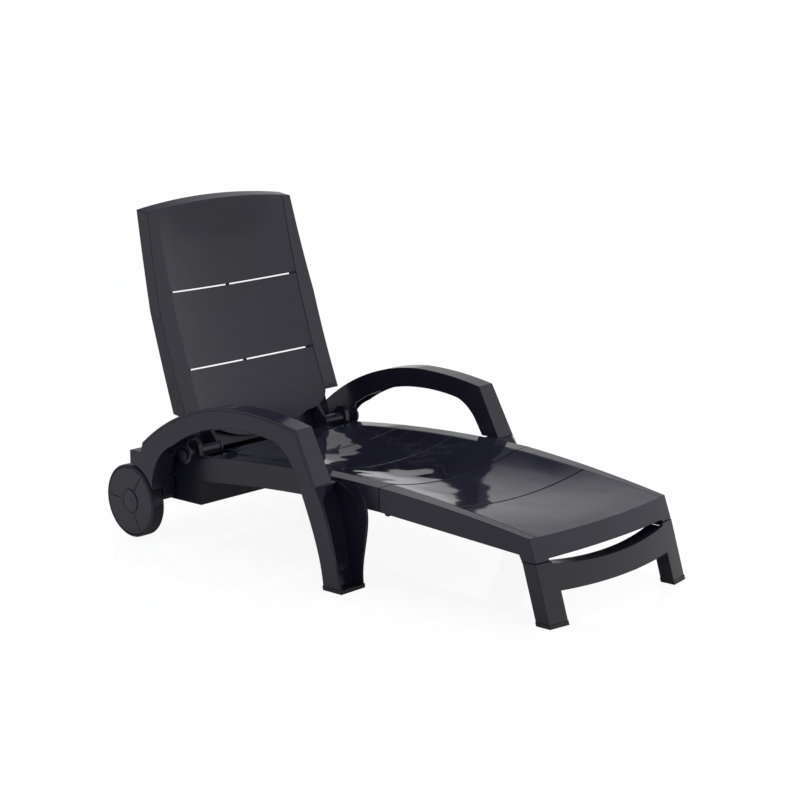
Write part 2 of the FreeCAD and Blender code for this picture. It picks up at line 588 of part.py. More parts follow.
def guide_screw_places():
    """Two screws up through the box's floor into the guide's foot."""
    x = GUIDE_INNER + GUIDE_THICKNESS + 12.0
    return (Vec(x, BOX_FRONT + 65.0, BOX_BOTTOM), Vec(x, BOX_FRONT + 135.0, BOX_BOTTOM))


# ---- rear box under the back -----------------------------------------------------------
def rear_box():
    half = RAIL_HALF_WIDTH
    shell = block(-half, half, BOX_FRONT, BOX_REAR, BOX_BOTTOM, BOX_TOP)
    inner = half - WALL
    shell = shell.cut(block(-inner, inner, BOX_FRONT + WALL, BOX_REAR - WALL,
                            BOX_BOTTOM + WALL, BOX_TOP + 1))
    shell = shell.fuse(block(-half, half, BOX_REAR - WALL, BOX_REAR, BOX_BOTTOM, BOX_REAR_TOP))
    boss_end = BACK_HALF_WIDTH + BRACKET_CLEARANCE - SEAT_CLEARANCE
    shell = shell.fuse(rod(-boss_end, boss_end, WHEEL_Y, AXLE_Z, AXLE_TUBE_RADIUS))
    shell = shell.cut(rod(-boss_end - 1, boss_end + 1, WHEEL_Y, AXLE_Z, AXLE_RADIUS + RUNNING_FIT))
    for place in box_screw_places():
        pad = block(half - 22.0, half, place.y - 9.0, place.y + 9.0, BOX_TOP - WALL, BOX_TOP)
        shell = shell.fuse(pad).fuse(mirrored(pad))
    for place in box_screw_places() + guide_screw_places():
        hole = screw(place, Vec(0, 0, 1))
        shell = shell.cut(hole).cut(mirrored(hole))
    return shell.removeSplitter()


def box_screw_places():
    """Two screws up through the box's corner pads into the cheek above."""
    x, z = CHEEK_INNER + 4.0, BOX_TOP - WALL
    return (Vec(x, BOX_FRONT + 14.0, z), Vec(x, BRACKET_FRONT - 20.0, z))


# ---- arms with the middle legs ---------------------------------------------------------
def leg_quad(z, outer, inner, front_out, front_in, rear):
    return [(outer, front_out, z), (outer, rear, z), (inner, rear, z), (inner, front_in, z)]


def arm_leg():
    """The leg under the arm's front: an H section, with its inner wall on the seat rail."""
    foot_rear = ARM_FOOT_FRONT + ARM_FOOT_DEPTH
    rail_side = RAIL_HALF_WIDTH + SEAT_CLEARANCE
    # height, share of the flare, inner face, front outside, front inside, rear
    stations = [(SEAM_TOP - 2.0, 0.34, rail_side, ARM_CORNER_Y - 65.0, GUSSET_FRONT, ARM_CORNER_Y - 6.0)]
    stations += [(SEAM_BOTTOM, 0.5, rail_side, 102.0, ARM_FOOT_FRONT - 2.0, foot_rear + 59.0)]
    stations += [(SEAM_TOP / 2, 0.67, rail_side + 9.0, 78.0, ARM_FOOT_FRONT - 6.0, foot_rear + 31.0)]
    stations += [(CAP_HEIGHT / 3, 1.0, ARM_FOOT_INNER, ARM_FOOT_FRONT, ARM_FOOT_FRONT, foot_rear)]
    solid, front_room, rear_room = [], [], []
    for z, share, inner, front_out, front_in, rear in stations:
        outer = ARM_OUTER + ARM_FOOT_FLARE * share
        web = (front_out + rear) / 2 + 4.0
        solid.append(leg_quad(z, outer, inner, front_out, front_in, rear))
        room = (outer - WALL - 1.0, inner + WALL + 1.0)
        front_room.append(leg_quad(z, *room, web - 130.0, web - 130.0, web))
        rear_room.append(leg_quad(z, *room, web + WALL, web + WALL, web + 130.0))
    front_room = loft(front_room).cut(leg_lintel())
    beside_rail = block(rail_side, FAR, -FAR, FAR, 0, FAR)
    return loft(solid).common(beside_rail).cut(front_room).cut(loft(rear_room))


def leg_lintel():
    """The slanting web over the leg's front recess; it runs back from the outer wall to the rail."""
    low = SEAM_TOP - 39.0
    front_view = closed([(RAIL_HALF_WIDTH, SEAM_TOP), (ARM_FOOT_OUTER, SEAM_TOP), (ARM_FOOT_OUTER, low)])
    web = face_of(lambda x, z: Vec(x, 0, z), front_view).extrude(Vec(0, FAR, 0))
    plan = [(RAIL_HALF_WIDTH - 1.0, LINTEL_FRONT), (ARM_FOOT_OUTER, LINTEL_FRONT - 35.0)]
    plan = closed(plan + [(ARM_FOOT_OUTER, FAR), (RAIL_HALF_WIDTH - 1.0, FAR)])
    return web.common(face_of(lambda x, y: Vec(x, y, 0), plan).extrude(Vec(0, 0, FAR)))


def leg_ribs():
    """Two raised ribs that sweep down the leg's inner wall from the top of the recess."""
    x0 = RAIL_HALF_WIDTH + WALL
    ribs = []
    for shift in (0.0, 9.0):
        top = (LINTEL_FRONT - 8.0 - shift, SEAM_TOP - 5.0)
        middle = (LINTEL_FRONT - 50.0 - shift, SEAM_TOP - 33.0)
        end = (LINTEL_FRONT - 73.0 - shift, SEAM_TOP - 87.0)
        back = [(y + 2.0, z - 1.6) for y, z in (end, middle, top)]
        runs = [(top, middle, end), (end, back[0]), tuple(back), (back[2], top)]
        ribs.append(side_prism(runs, x0, x0 + 6.0))
    return ribs


def arm_arch_runs():
    """Side outline (y, z) of the arch, from the leg's front round to its rear."""
    leg_front = (ARM_CORNER_Y - 65.0, SEAM_TOP - 2.0)
    leg_rear = (ARM_CORNER_Y - 7.0, SEAM_TOP - 2.0)
    corner = (ARM_CORNER_Y, ARM_CORNER_Z)
    crown = (ARM_CROWN_Y, ARM_CROWN_Z)
    rear_top = (ARM_REAR_Y - 54.0, ARM_REAR_TOP + 27.0)
    step = (ARM_REAR_Y - 47.0, ARM_REAR_TOP)
    soffit = (ARM_CROWN_Y - 10.0, ARM_CROWN_Z - ARM_BAND)
    haunch = (ARM_CROWN_Y + 246.0, ARM_CROWN_Z - 129.0)
    heel = (WHEEL_Y - WHEEL_RADIUS + 4.0, AXLE_Z + 46.0)
    inner_corner = (ARM_CORNER_Y + 79.0, ARM_CORNER_Z - 40.0)
    inner_low = (ARM_CORNER_Y + 18.0, ARM_CORNER_Z - 89.0)
    runs = [(leg_front, corner), (corner, (ARM_CORNER_Y + 118.0, ARM_CORNER_Z + 18.0), crown)]
    runs += [(crown, (ARM_CROWN_Y + 235.0, ARM_CROWN_Z - 55.5), rear_top), (rear_top, step)]
    runs += [(step, (ARM_REAR_Y, ARM_REAR_TOP)), ((ARM_REAR_Y, ARM_REAR_TOP), (ARM_REAR_Y, AXLE_Z + 20.0))]
    ankle = (heel[0] - 3.0, AXLE_Z + 20.0)
    runs += [((ARM_REAR_Y, AXLE_Z + 20.0), ankle), (ankle, heel)]
    runs += [(heel, (heel[0] - 16.0, heel[1] + 66.0), haunch)]
    runs += [(haunch, (ARM_CROWN_Y + 120.0, ARM_CROWN_Z - 72.0), soffit)]
    runs += [(soffit, (ARM_CROWN_Y - 90.0, ARM_CROWN_Z - 54.0), inner_corner)]
    runs += [(inner_corner, (ARM_CORNER_Y + 42.0, ARM_CORNER_Z - 62.0), inner_low)]
    runs += [(inner_low, leg_rear), (leg_rear, leg_front)]
    return runs


def outward_lean(shape, inset):
    """Trims a shape to the arm's outer face, which stands further out toward the ground."""
    top_x = ARM_OUTER - inset
    foot_x = ARM_FOOT_OUTER - inset
    above = top_x - ARM_FOOT_FLARE * 0.2
    runs = closed([(-FAR, 0.0), (foot_x, 0.0), (top_x, ARM_CORNER_Z), (above, ARM_CORNER_Z * 1.2),
                   (-FAR, ARM_CORNER_Z * 1.2)])
    face = face_of(lambda x, z: Vec(x, -FAR, z), runs)
    return shape.common(face.extrude(Vec(0, 3 * FAR, 0)))


def wheel_bracket():
    """Inner part of the arm's rear, which carries the axle beside the rear box."""
    x0 = BACK_HALF_WIDTH + BRACKET_CLEARANCE
    runs = closed([(BRACKET_FRONT, BRACKET_TOP - 30.0), (BRACKET_FRONT + 10.0, BRACKET_TOP),
                   (BRACKET_REAR, BRACKET_TOP), (BRACKET_REAR, BRACKET_BOTTOM + 10.0),
                   (BRACKET_REAR - 10.0, BRACKET_BOTTOM), (WHEEL_Y - 22.0, BRACKET_BOTTOM),
                   (WHEEL_Y - 30.0, BOX_BOTTOM + 4.0), (BRACKET_FRONT + 10.0, BOX_BOTTOM + 4.0),
                   (BRACKET_FRONT, BOX_BOTTOM + 16.0)])
    bracket = side_prism(runs, x0, BRACKET_OUTER)
    hollow = block(x0 + WALL, BRACKET_OUTER - WALL, BRACKET_FRONT + WALL + 8.0, BRACKET_REAR - WALL,
                   AXLE_Z + 24.0, BRACKET_TOP - WALL)
    bracket = bracket.cut(hollow)
    return bracket.cut(rod(x0 - 1, BRACKET_OUTER + 1, WHEEL_Y, AXLE_Z, AXLE_RADIUS + RUNNING_FIT))


def one_arm():
    arch = outward_lean(side_prism(arm_arch_runs(), ARM_INNER, ARM_FOOT_OUTER), 0.0)
    hollow = side_prism(arm_arch_runs(), ARM_INNER + WALL, ARM_FOOT_OUTER)
    hollow.translate(Vec(0, 0, -WALL - 1.0))
    keep = block(0, FAR, ARM_CORNER_Y + 60.0, WHEEL_Y - WHEEL_RADIUS - 30.0, 0, FAR)
    arch = arch.cut(outward_lean(hollow, WALL).common(keep))
    for y in (300.0, 380.0, 460.0, 540.0, 620.0):
        rib = side_prism(arm_arch_runs(), ARM_INNER, ARM_FOOT_OUTER)
        rib = rib.common(block(0, FAR, y, y + 3.0, 0, FAR))
        arch = arch.fuse(outward_lean(rib, 0.0))
    arm = arch.fuse(wheel_bracket()).fuse(outward_lean(arm_leg(), 0.0)).fuse(leg_ribs())
    wheel_room = rod(WHEEL_INNER - 3.0, FAR, WHEEL_Y, AXLE_Z, WHEEL_RADIUS + WHEEL_CLEARANCE)
    arm = arm.cut(wheel_room)
    boss = rod(ARM_INNER - 8.0, ARM_INNER + 10.0, BACK_PIVOT_Y, BACK_PIVOT_Z, 14.0)
    boss = boss.fuse(rod(ARM_INNER - 2.0, ARM_INNER + 4.0, BACK_PIVOT_Y, BACK_PIVOT_Z, 26.0))
    strut = [(BACK_PIVOT_Y - 10.0, BACK_PIVOT_Z), (BACK_PIVOT_Y + 14.0, BACK_PIVOT_Z)]
    strut += [(BACK_PIVOT_Y + 10.0, BACK_PIVOT_Z + 60.0), (BACK_PIVOT_Y - 20.0, BACK_PIVOT_Z + 60.0)]
    strut = side_prism(closed(strut), ARM_INNER, ARM_INNER + 6.0)
    arm = arm.fuse(boss).fuse(strut)
    arm = arm.cut(rod(ARM_INNER - 10.0, ARM_INNER + 4.0, BACK_PIVOT_Y, BACK_PIVOT_Z, HINGE_PIN_RADIUS))
    for place in arm_screw_places():
        arm = arm.cut(screw(place, Vec(1, 0, 0)))
    return arm.removeSplitter()


def arm_screw_places():
    """Two screws through the seat rail into the arm's inner wall."""
    inside = RAIL_HALF_WIDTH - WALL
    front = Vec(inside, GUSSET_FRONT + 16.0, SEAM_BOTTOM + 30.0)
    return (front, Vec(inside, GUSSET_FRONT + 46.0, SEAM_BOTTOM + 24.0))


# ---- leg frame under the foot end ------------------------------------------------------
def leg_frame_foot_front():
    """Front outer corner of the leg frame, at the ground."""
    top_front = -LEG_REST_LENGTH - FRONT_LEAN * (LEG_REST_FRONT_TOP - LEG_FRAME_TOP)
    return top_front - LEG_LEAN * LEG_FRAME_TOP


def frame_block(inset, front_inset, rear_extra):
    """Bowed, leaning slab of the leg frame, from the ground to its top."""
    half = LEG_HALF_WIDTH - inset
    front = leg_frame_foot_front() + front_inset
    rear = leg_frame_foot_front() + LEG_DEPTH + rear_extra
    runs = [((-half, front), (0.0, front - LEG_BOW), (half, front)), ((half, front), (half, rear))]
    runs += [((half, rear), (0.0, rear - LEG_BOW), (-half, rear)), ((-half, rear), (-half, front))]
    rise = LEG_FRAME_TOP
    face = face_of(lambda x, y: Vec(x, y, 0.0), runs)
    return face.extrude(Vec(0, LEG_LEAN * rise, rise))


def frame_front_view(inset):
    """Front view of the leg frame: two legs joined by an arched crossbar."""
    half = LEG_HALF_WIDTH - inset
    inner = LEG_HALF_WIDTH - LEG_WIDTH + inset
    notch = inner + 8.0 - 2 * inset
    top = LEG_FRAME_TOP - inset
    bar_top = CROSSBAR_TOP - inset
    upper = bar_top + CROSSBAR_TOP_RISE
    bar_bottom = CROSSBAR_BOTTOM + inset
    lower = bar_bottom + CROSSBAR_BOTTOM_RISE
    runs = [((-half, -1.0), (-half, top)), ((-half, top), (-notch, top))]
    runs += [((-notch, top), (-notch + 2.0, upper))]
    runs += [((-notch + 2.0, upper), (0.0, bar_top), (notch - 2.0, upper))]
    runs += [((notch - 2.0, upper), (notch, top)), ((notch, top), (half, top))]
    runs += [((half, top), (half, -1.0)), ((half, -1.0), (inner, -1.0))]
    runs += [((inner, -1.0), (inner, lower)), ((inner, lower), (0.0, bar_bottom), (-inner, lower))]
    runs += [((-inner, lower), (-inner, -1.0)), ((-inner, -1.0), (-half, -1.0))]
    return face_of(lambda x, z: Vec(x, -FAR, z), runs).extrude(Vec(0, 2 * FAR, 0))


def front_leg_frame():
    frame = frame_block(0.0, 0.0, 0.0).common(frame_front_view(0.0))
    frame = frame.cut(frame_block(WALL, WALL, 20.0).common(frame_front_view(WALL)))
    frame = frame.cut(block(-FAR, FAR, -FAR, 0, -5.0, CAP_HEIGHT / 3))
    x = LEG_FRAME_HINGE_X - LUG_THICKNESS / 2
    knuckle = rod(x, x + LUG_THICKNESS, LEG_FRAME_PIVOT_Y, LEG_FRAME_PIVOT_Z, LUG_RADIUS)
    web = block(x, x + LUG_THICKNESS, LEG_FRAME_PIVOT_Y - 46.0, LEG_FRAME_PIVOT_Y,
                LEG_FRAME_PIVOT_Z - LUG_RADIUS, LEG_FRAME_TOP - WALL + 1.5)
    knuckle = knuckle.fuse(web.common(frame_block(0.0, 0.0, 60.0))).cut(leg_frame_pin_hole())
    return frame.fuse(knuckle).fuse(mirrored(knuckle)).removeSplitter()


def grown(corners, by):
    """Plan corners moved outward from their middle."""
    middle_x = sum(x for x, y, z in corners) / 4
    middle_y = sum(y for x, y, z in corners) / 4
    return [(x + math.copysign(by, x - middle_x), y + math.copysign(by, y - middle_y), z)
            for x, y, z in corners]


def foot_cap(plan):
    """A shallow cup round a foot; plan gives the foot's four corners at a height."""
    cup = loft([grown(plan(z), CAP_FLARE) for z in (0.0, CAP_HEIGHT)])
    return cup.cut(loft([grown(plan(z), SEAT_CLEARANCE) for z in (CAP_HEIGHT / 3, CAP_HEIGHT + 1.0)]))


def arm_foot_plan(z):
    rise = z - CAP_HEIGHT / 3
    front_out = ARM_FOOT_FRONT + 0.29 * rise
    front_in = ARM_FOOT_FRONT - 0.05 * rise
    rear = ARM_FOOT_FRONT + ARM_FOOT_DEPTH + 0.26 * rise
    return leg_quad(z, ARM_FOOT_OUTER, ARM_FOOT_INNER - 0.08 * rise, front_out, front_in, rear)


def arm_foot_caps():
    return both_sides(foot_cap(arm_foot_plan))


def leg_frame_foot_plan(z):
    inner = LEG_HALF_WIDTH - LEG_WIDTH
    front = leg_frame_foot_front() + LEG_LEAN * z
    step = LEG_BOW * (1 - (inner / LEG_HALF_WIDTH) ** 2)
    rear = front + LEG_DEPTH
    return [(LEG_HALF_WIDTH, front, z), (LEG_HALF_WIDTH, rear, z),
            (inner, rear - step, z), (inner, front - step, z)]


def leg_frame_foot_caps():
    return both_sides(foot_cap(leg_frame_foot_plan))


# ---- wheels ----------------------------------------------------------------------------
def turned(profile):
    """A profile of (radius, x) turned about the wheel's axis."""
    points = [Vec(x, WHEEL_Y, AXLE_Z + r) for r, x in profile + profile[:1]]
    face = Part.Face(Part.makePolygon(points))
    return face.revolve(Vec(0, WHEEL_Y, AXLE_Z), Vec(1, 0, 0), 360)


def wheel():
    bore = AXLE_RADIUS + RUNNING_FIT
    rim_inner = WHEEL_RADIUS - 6.0
    web0, web1 = WHEEL_INNER + 14.0, WHEEL_INNER + 19.0
    lip = WHEEL_OUTER - 3.0
    profile = [(bore, WHEEL_INNER + 1.0), (HUB_RADIUS, WHEEL_INNER + 1.0), (HUB_RADIUS, web0)]
    profile += [(rim_inner, web0), (rim_inner, WHEEL_INNER), (WHEEL_RADIUS - 2.5, WHEEL_INNER)]
    profile += [(WHEEL_RADIUS, WHEEL_INNER + 2.5), (WHEEL_RADIUS, WHEEL_OUTER - 3.0)]
    profile += [(WHEEL_RADIUS - 3.0, WHEEL_OUTER), (rim_inner, WHEEL_OUTER), (rim_inner, lip - 3.0)]
    profile += [(WHEEL_DISC_RADIUS - 8.0, lip - 3.0), (WHEEL_DISC_RADIUS - 8.0, web1)]
    profile += [(HUB_RADIUS, web1), (HUB_RADIUS, lip - 5.0), (bore, lip - 5.0)]
    body = turned(profile)
    spoke = block(WHEEL_INNER + 3.0, web0, WHEEL_Y - 2.0, WHEEL_Y + 2.0, AXLE_Z + HUB_RADIUS - 2.0,
                  AXLE_Z + rim_inner + 2.0)
    for k in range(6):
        arm = spoke.copy()
        arm.rotate(Vec(0, WHEEL_Y, AXLE_Z), Vec(1, 0, 0), 60.0 * k)
        body = body.fuse(arm)
    return body.removeSplitter()


def wheel_disc():
    """The cover on the wheel's outer side, with three creases round a ring."""
    gap = SEAT_CLEARANCE
    lip = WHEEL_OUTER - 3.0
    profile = [(0.0, lip - 3.0), (HUB_CAP_RADIUS - 4.0, lip - 3.0), (HUB_CAP_RADIUS - 4.0, lip)]
    profile += [(WHEEL_DISC_RADIUS, lip), (WHEEL_DISC_RADIUS, lip + 1.5)]
    profile += [(WHEEL_DISC_RADIUS - 1.5, WHEEL_OUTER), (HUB_CAP_RADIUS + gap, WHEEL_OUTER)]
    profile += [(HUB_CAP_RADIUS + gap, lip + 1.0), (0.0, lip + 1.0)]
    disc = turned(profile)
    crease = block(lip + 1.5, WHEEL_OUTER + 1.0, WHEEL_Y - 1.0, WHEEL_Y + 1.0, AXLE_Z + HUB_CAP_RADIUS + 6.0,
                   AXLE_Z + WHEEL_DISC_RADIUS - 8.0)
    for k in range(3):
        cut = crease.copy()
        cut.rotate(Vec(0, WHEEL_Y, AXLE_Z), Vec(1, 0, 0), 35.0 + 120.0 * k)
        disc = disc.cut(cut)
    return disc


def hub_cap():
    base = WHEEL_OUTER - 2.0
    profile = [(0.0, base), (HUB_CAP_RADIUS, base), (HUB_CAP_RADIUS, base + 3.0)]
    profile += [(HUB_CAP_RADIUS - 1.5, base + 4.5)]
    profile += [(HUB_CAP_RADIUS - 4.0, base + 4.5), (HUB_CAP_RADIUS - 6.0, base + 3.0), (0.0, base + 4.0)]
    return turned(profile)


def axle():
    end = WHEEL_INNER + WHEEL_WIDTH - 12.0
    return rod(-end, end, WHEEL_Y, AXLE_Z, AXLE_RADIUS)


def axle_washers():
    x = BRACKET_OUTER + SEAT_CLEARANCE
    washer = rod(x, WHEEL_INNER + 1.0 - SEAT_CLEARANCE, WHEEL_Y, AXLE_Z, AXLE_RADIUS + 7.0)
    return both_sides(washer.cut(rod(x - 1, x + 9, WHEEL_Y, AXLE_Z, AXLE_RADIUS + RUNNING_FIT)))


# ---- pins and screws -------------------------------------------------------------------
def pin(x0, x1, y, z, radius, head):
    return rod(x0, x1, y, z, radius).fuse(rod(x1, x1 + 2.0, y, z, head))


def back_hinge_pin():
    """Runs from the back's knuckle, through the cheek, into the arm."""
    inner = KNUCKLE_INNER + 4.0
    body = rod(inner, ARM_INNER + 4.0, BACK_PIVOT_Y, BACK_PIVOT_Z, HINGE_PIN_RADIUS)
    return body


def hinge_collar():
    """Spacer sleeve on the recline pin, between cheek and arm."""
    x0, x1 = CHEEK_OUTER, ARM_INNER - 8.0
    sleeve = rod(x0, x1, BACK_PIVOT_Y, BACK_PIVOT_Z, HINGE_PIN_RADIUS + 3.0)
    return sleeve.cut(rod(x0 - 1, x1 + 1, BACK_PIVOT_Y, BACK_PIVOT_Z, HINGE_PIN_RADIUS))


def leg_rest_pins():
    reach = 1.5 * LUG_THICKNESS + 1.0
    return both_sides(pin(SMALL_HINGE_X - reach, SMALL_HINGE_X + reach, 0, LEG_REST_PIVOT_Z,
                          SMALL_PIN_RADIUS, SMALL_PIN_RADIUS + 2.0))


def leg_frame_pins():
    reach = 1.5 * LUG_THICKNESS + 1.0
    return both_sides(pin(LEG_FRAME_HINGE_X - reach, LEG_FRAME_HINGE_X + reach, LEG_FRAME_PIVOT_Y,
                          LEG_FRAME_PIVOT_Z, SMALL_PIN_RADIUS, SMALL_PIN_RADIUS + 2.0))


def prop_pins():
    inner, outer = prop_ears()
    y, z = back_point(PROP_PIVOT_U, PROP_PIVOT_N, 0.0)
    return both_sides(pin(inner, outer + LUG_THICKNESS, y, z, PROP_PIN_RADIUS, PROP_PIN_RADIUS + 2.0))


def screw(place, direction):
    seat = place - direction * SCREW_HEAD_HEIGHT
    head = Part.makeCylinder(SCREW_HEAD_RADIUS, SCREW_HEAD_HEIGHT, seat, direction)
    return head.fuse(Part.makeCylinder(SCREW_RADIUS, SCREW_LENGTH, place, direction))


def arm_screws():
    return both_sides(Part.makeCompound([screw(place, Vec(1, 0, 0)) for place in arm_screw_places()]))


def box_screws():
    return both_sides(Part.makeCompound([screw(place, Vec(0, 0, 1)) for place in box_screw_places()]))


def guide_screws():
    return both_sides(Part.makeCompound([screw(place, Vec(0, 0, 1)) for place in guide_screw_places()]))


# ---- the parts -------------------------------------------------------------------------
os.makedirs("parts", exist_ok=True)
save("seat_shell", seat_shell())
save("leg_rest_shell", leg_rest_shell())
save("backrest_shell", backrest_shell())
arm = one_arm()
save("left_arm", arm)
save("right_arm", mirrored(arm))
save("arm_foot_caps", arm_foot_caps())
save("rear_box", rear_box())
save("prop_bail", prop_bail())
save("prop_pins", prop_pins())
guide = prop_guide()
save("left_prop_guide", guide)
save("right_prop_guide", mirrored(guide))
save("front_leg_frame", front_leg_frame())
save("leg_frame_foot_caps", leg_frame_foot_caps())
save("axle", axle())
save("axle_washers", axle_washers())
for name, place in (("left", lambda shape: shape), ("right", mirrored)):
    save(name + "_wheel", place(wheel()))
    save(name + "_wheel_disc", place(wheel_disc()))
    save(name + "_hub_cap", place(hub_cap()))
    save(name + "_back_hinge_pin", place(back_hinge_pin()))
    save(name + "_hinge_collar", place(hinge_collar()))
save("leg_rest_pins", leg_rest_pins())
save("leg_frame_pins", leg_frame_pins())
save("arm_screws", arm_screws())
save("box_screws", box_screws())
save("guide_screws", guide_screws())
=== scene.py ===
import math

import bpy
from mathutils import Matrix, Vector


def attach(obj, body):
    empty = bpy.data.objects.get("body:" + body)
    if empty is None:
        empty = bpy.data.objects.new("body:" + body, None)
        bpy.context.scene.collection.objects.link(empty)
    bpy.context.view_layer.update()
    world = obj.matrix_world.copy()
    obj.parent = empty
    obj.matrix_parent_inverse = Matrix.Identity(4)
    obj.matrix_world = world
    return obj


# Reclining sun lounger, moulded resin. Metres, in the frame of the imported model:
# +Z up, the head end toward +Y, the sitter's right at -X, the ground at z = 0.

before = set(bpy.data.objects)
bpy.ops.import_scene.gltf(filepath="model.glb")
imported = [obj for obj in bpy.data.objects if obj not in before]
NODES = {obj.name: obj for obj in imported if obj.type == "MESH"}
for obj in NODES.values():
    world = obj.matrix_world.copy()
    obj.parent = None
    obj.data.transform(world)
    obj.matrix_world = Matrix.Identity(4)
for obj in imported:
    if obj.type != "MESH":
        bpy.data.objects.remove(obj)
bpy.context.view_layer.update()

SIDEWAYS, REARWARD, UP = (1.0, 0.0, 0.0), (0.0, 1.0, 0.0), (0.0, 0.0, 1.0)

# seat and leg rest
RAIL_GROOVE = 0.227             # middle to the groove between the dish and a rail
RAIL_GROOVE_HALF = 0.0015

# back: heights run up along it from its pivot
BACK_LEAN = math.radians(15.1)
BACK_PIVOT = (0.4775, 0.240)    # (y, z)
BACK_GROOVE = 0.2225            # middle to the groove beside a stile
BACK_GROOVE_ENDS = (0.100, 0.660)
BACK_GROOVE_HALF = 0.0012
SLIT_HEIGHTS = (0.214, 0.425)
SLIT_OPEN = (0.0052, 0.2150)    # middle to the two ends of one slit
SLIT_HALF = 0.0024

# arms: side view (y, z) of the upper outline, from the front corner to the tail
ARM_CORNER, ARM_CROWN, ARM_TAIL = (-0.0185, 0.381), (0.2145, 0.404), (0.5865, 0.266)
ARM_SWEEPS = ((ARM_CORNER, (0.0995, 0.399), ARM_CROWN), (ARM_CROWN, (0.4495, 0.3485), ARM_TAIL))
ARM_LEG_LINE = Vector((0.065, 0.131)).normalized()
ARM_LEG_FOOT = 0.25             # lowest height of the bead on the leg
ARM_OUTER_FACE = 0.345
BEAD_INSET = 0.0065
BEAD_HALF = 0.0012

# stiffening ribs at the foot of an arm leg
RIB_SIZE = (0.0018, 0.010, 0.020)
RIB_ROUNDING = 0.0006
RIB_REACH = 0.019               # from the fan's root to the middle of a rib
RIB_TURNS = (-44, -22, 0, 22, 44)
RIB_LEAN = math.radians(15.3)
RIB_ROOT = (0.330, -0.1308, 0.034)


def srgb(red, green, blue):
    """A colour picked from a 0-255 chart, as the shader wants it."""
    return (*(((c / 255 + 0.055) / 1.055) ** 2.4 for c in (red, green, blue)), 1.0)


def tinted(colour, factor, lift=0.0):
    return tuple(c * factor + lift for c in colour[:3]) + (1.0,)


WHITE = (1.0, 1.0, 1.0, 1.0)
# Painted shade: the black that resin edges and cut grooves are mixed toward.
PAINTED_SHADE_BLACK = (0.006, 0.006, 0.014, 1.0)
ANTHRACITE = srgb(31, 29, 44)


# ---- shaders -----------------------------------------------------------------------------
class Signal:
    """A number socket that can be added, subtracted and multiplied as in arithmetic."""

    def __init__(self, shader, socket):
        self.shader = shader
        self.socket = socket

    def math_node(self, operation, first, second):
        return self.shader.node("ShaderNodeMath", {0: first, 1: second}, operation=operation)

    def __add__(self, other):
        return self.math_node("ADD", self, other)

    def __radd__(self, other):
        return self.math_node("ADD", other, self)

    def __sub__(self, other):
        return self.math_node("SUBTRACT", self, other)

    def __rsub__(self, other):
        return self.math_node("SUBTRACT", other, self)

    def __mul__(self, other):
        return self.math_node("MULTIPLY", self, other)

    def __abs__(self):
        return self.shader.node("ShaderNodeMath", {0: self}, operation="ABSOLUTE")


class Shader:
    """A node tree, with the one method that makes its nodes."""

    def __init__(self, owner):
        owner.use_nodes = True
        self.tree = owner.node_tree
        self.tree.nodes.clear()

    def node(self, kind, inputs=None, output=0, **settings):
        made = self.tree.nodes.new(kind)
        for key, value in settings.items():
            setattr(made, key, value)
        for key, value in (inputs or {}).items():
            if isinstance(value, Signal):
                self.tree.links.new(value.socket, made.inputs[key])
            else:
                made.inputs[key].default_value = value
        return Signal(self, made.outputs[output]) if len(made.outputs) else made

    def place(self):
        return self.node("ShaderNodeTexCoord", output="Object")

    def noise(self, place, scale, detail=2.0, roughness=0.5):
        inputs = {"Vector": place, "Scale": scale, "Detail": detail, "Roughness": roughness}
        return self.node("ShaderNodeTexNoise", inputs, "Fac")

    def ramp(self, value, low, high):
        """0 below low, 1 above high, smooth between."""
        inputs = {"Value": value, "From Min": low, "From Max": high}
        return self.node("ShaderNodeMapRange", inputs, interpolation_type="SMOOTHSTEP")

    def mix(self, factor, first, second):
        return self.node("ShaderNodeMix", {0: factor, 6: first, 7: second}, 2, data_type="RGBA")

    def bump(self, height, distance, normal):
        inputs = {"Height": height, "Distance": distance, "Strength": 1.0, "Normal": normal}
        return self.node("ShaderNodeBump", inputs)

    def along(self, vector, direction):
        """How far a vector reaches in a direction."""
        inputs = {0: vector, 1: direction}
        return self.node("ShaderNodeVectorMath", inputs, "Value", operation="DOT_PRODUCT")

    def line(self, distance, middle, half):
        """1 on a thin line at a distance, 0 beside it."""
        return 1.0 - self.ramp(abs(distance - middle), half * 0.6, half * 1.4)

    def within(self, value, low, high, fade=0.001):
        """1 from low to high, 0 outside."""
        above = self.ramp(value, low - fade, low + fade)
        return above * (1.0 - self.ramp(value, high - fade, high + fade))

    def surface(self, signal):
        self.node("ShaderNodeOutputMaterial", {"Surface": signal})

    def edges(self, radius):
        """The normal with the edges rounded, nearness to an edge, and how far a face looks up."""
        rounded = self.node("ShaderNodeBevel", {"Radius": radius}, samples=6)
        plain = self.node("ShaderNodeNewGeometry", output="Normal")
        same = self.along(rounded, plain)
        upward = self.along(plain, UP)
        return rounded, self.ramp(1.0 - same, 0.01, 0.14), self.ramp(upward, 0.55, 0.85)


def rail_border(shader, place, upward):
    """The groove between the flat rail borders and the dished panel."""
    across = abs(shader.along(place, SIDEWAYS))
    return shader.line(across, RAIL_GROOVE, RAIL_GROOVE_HALF) * upward


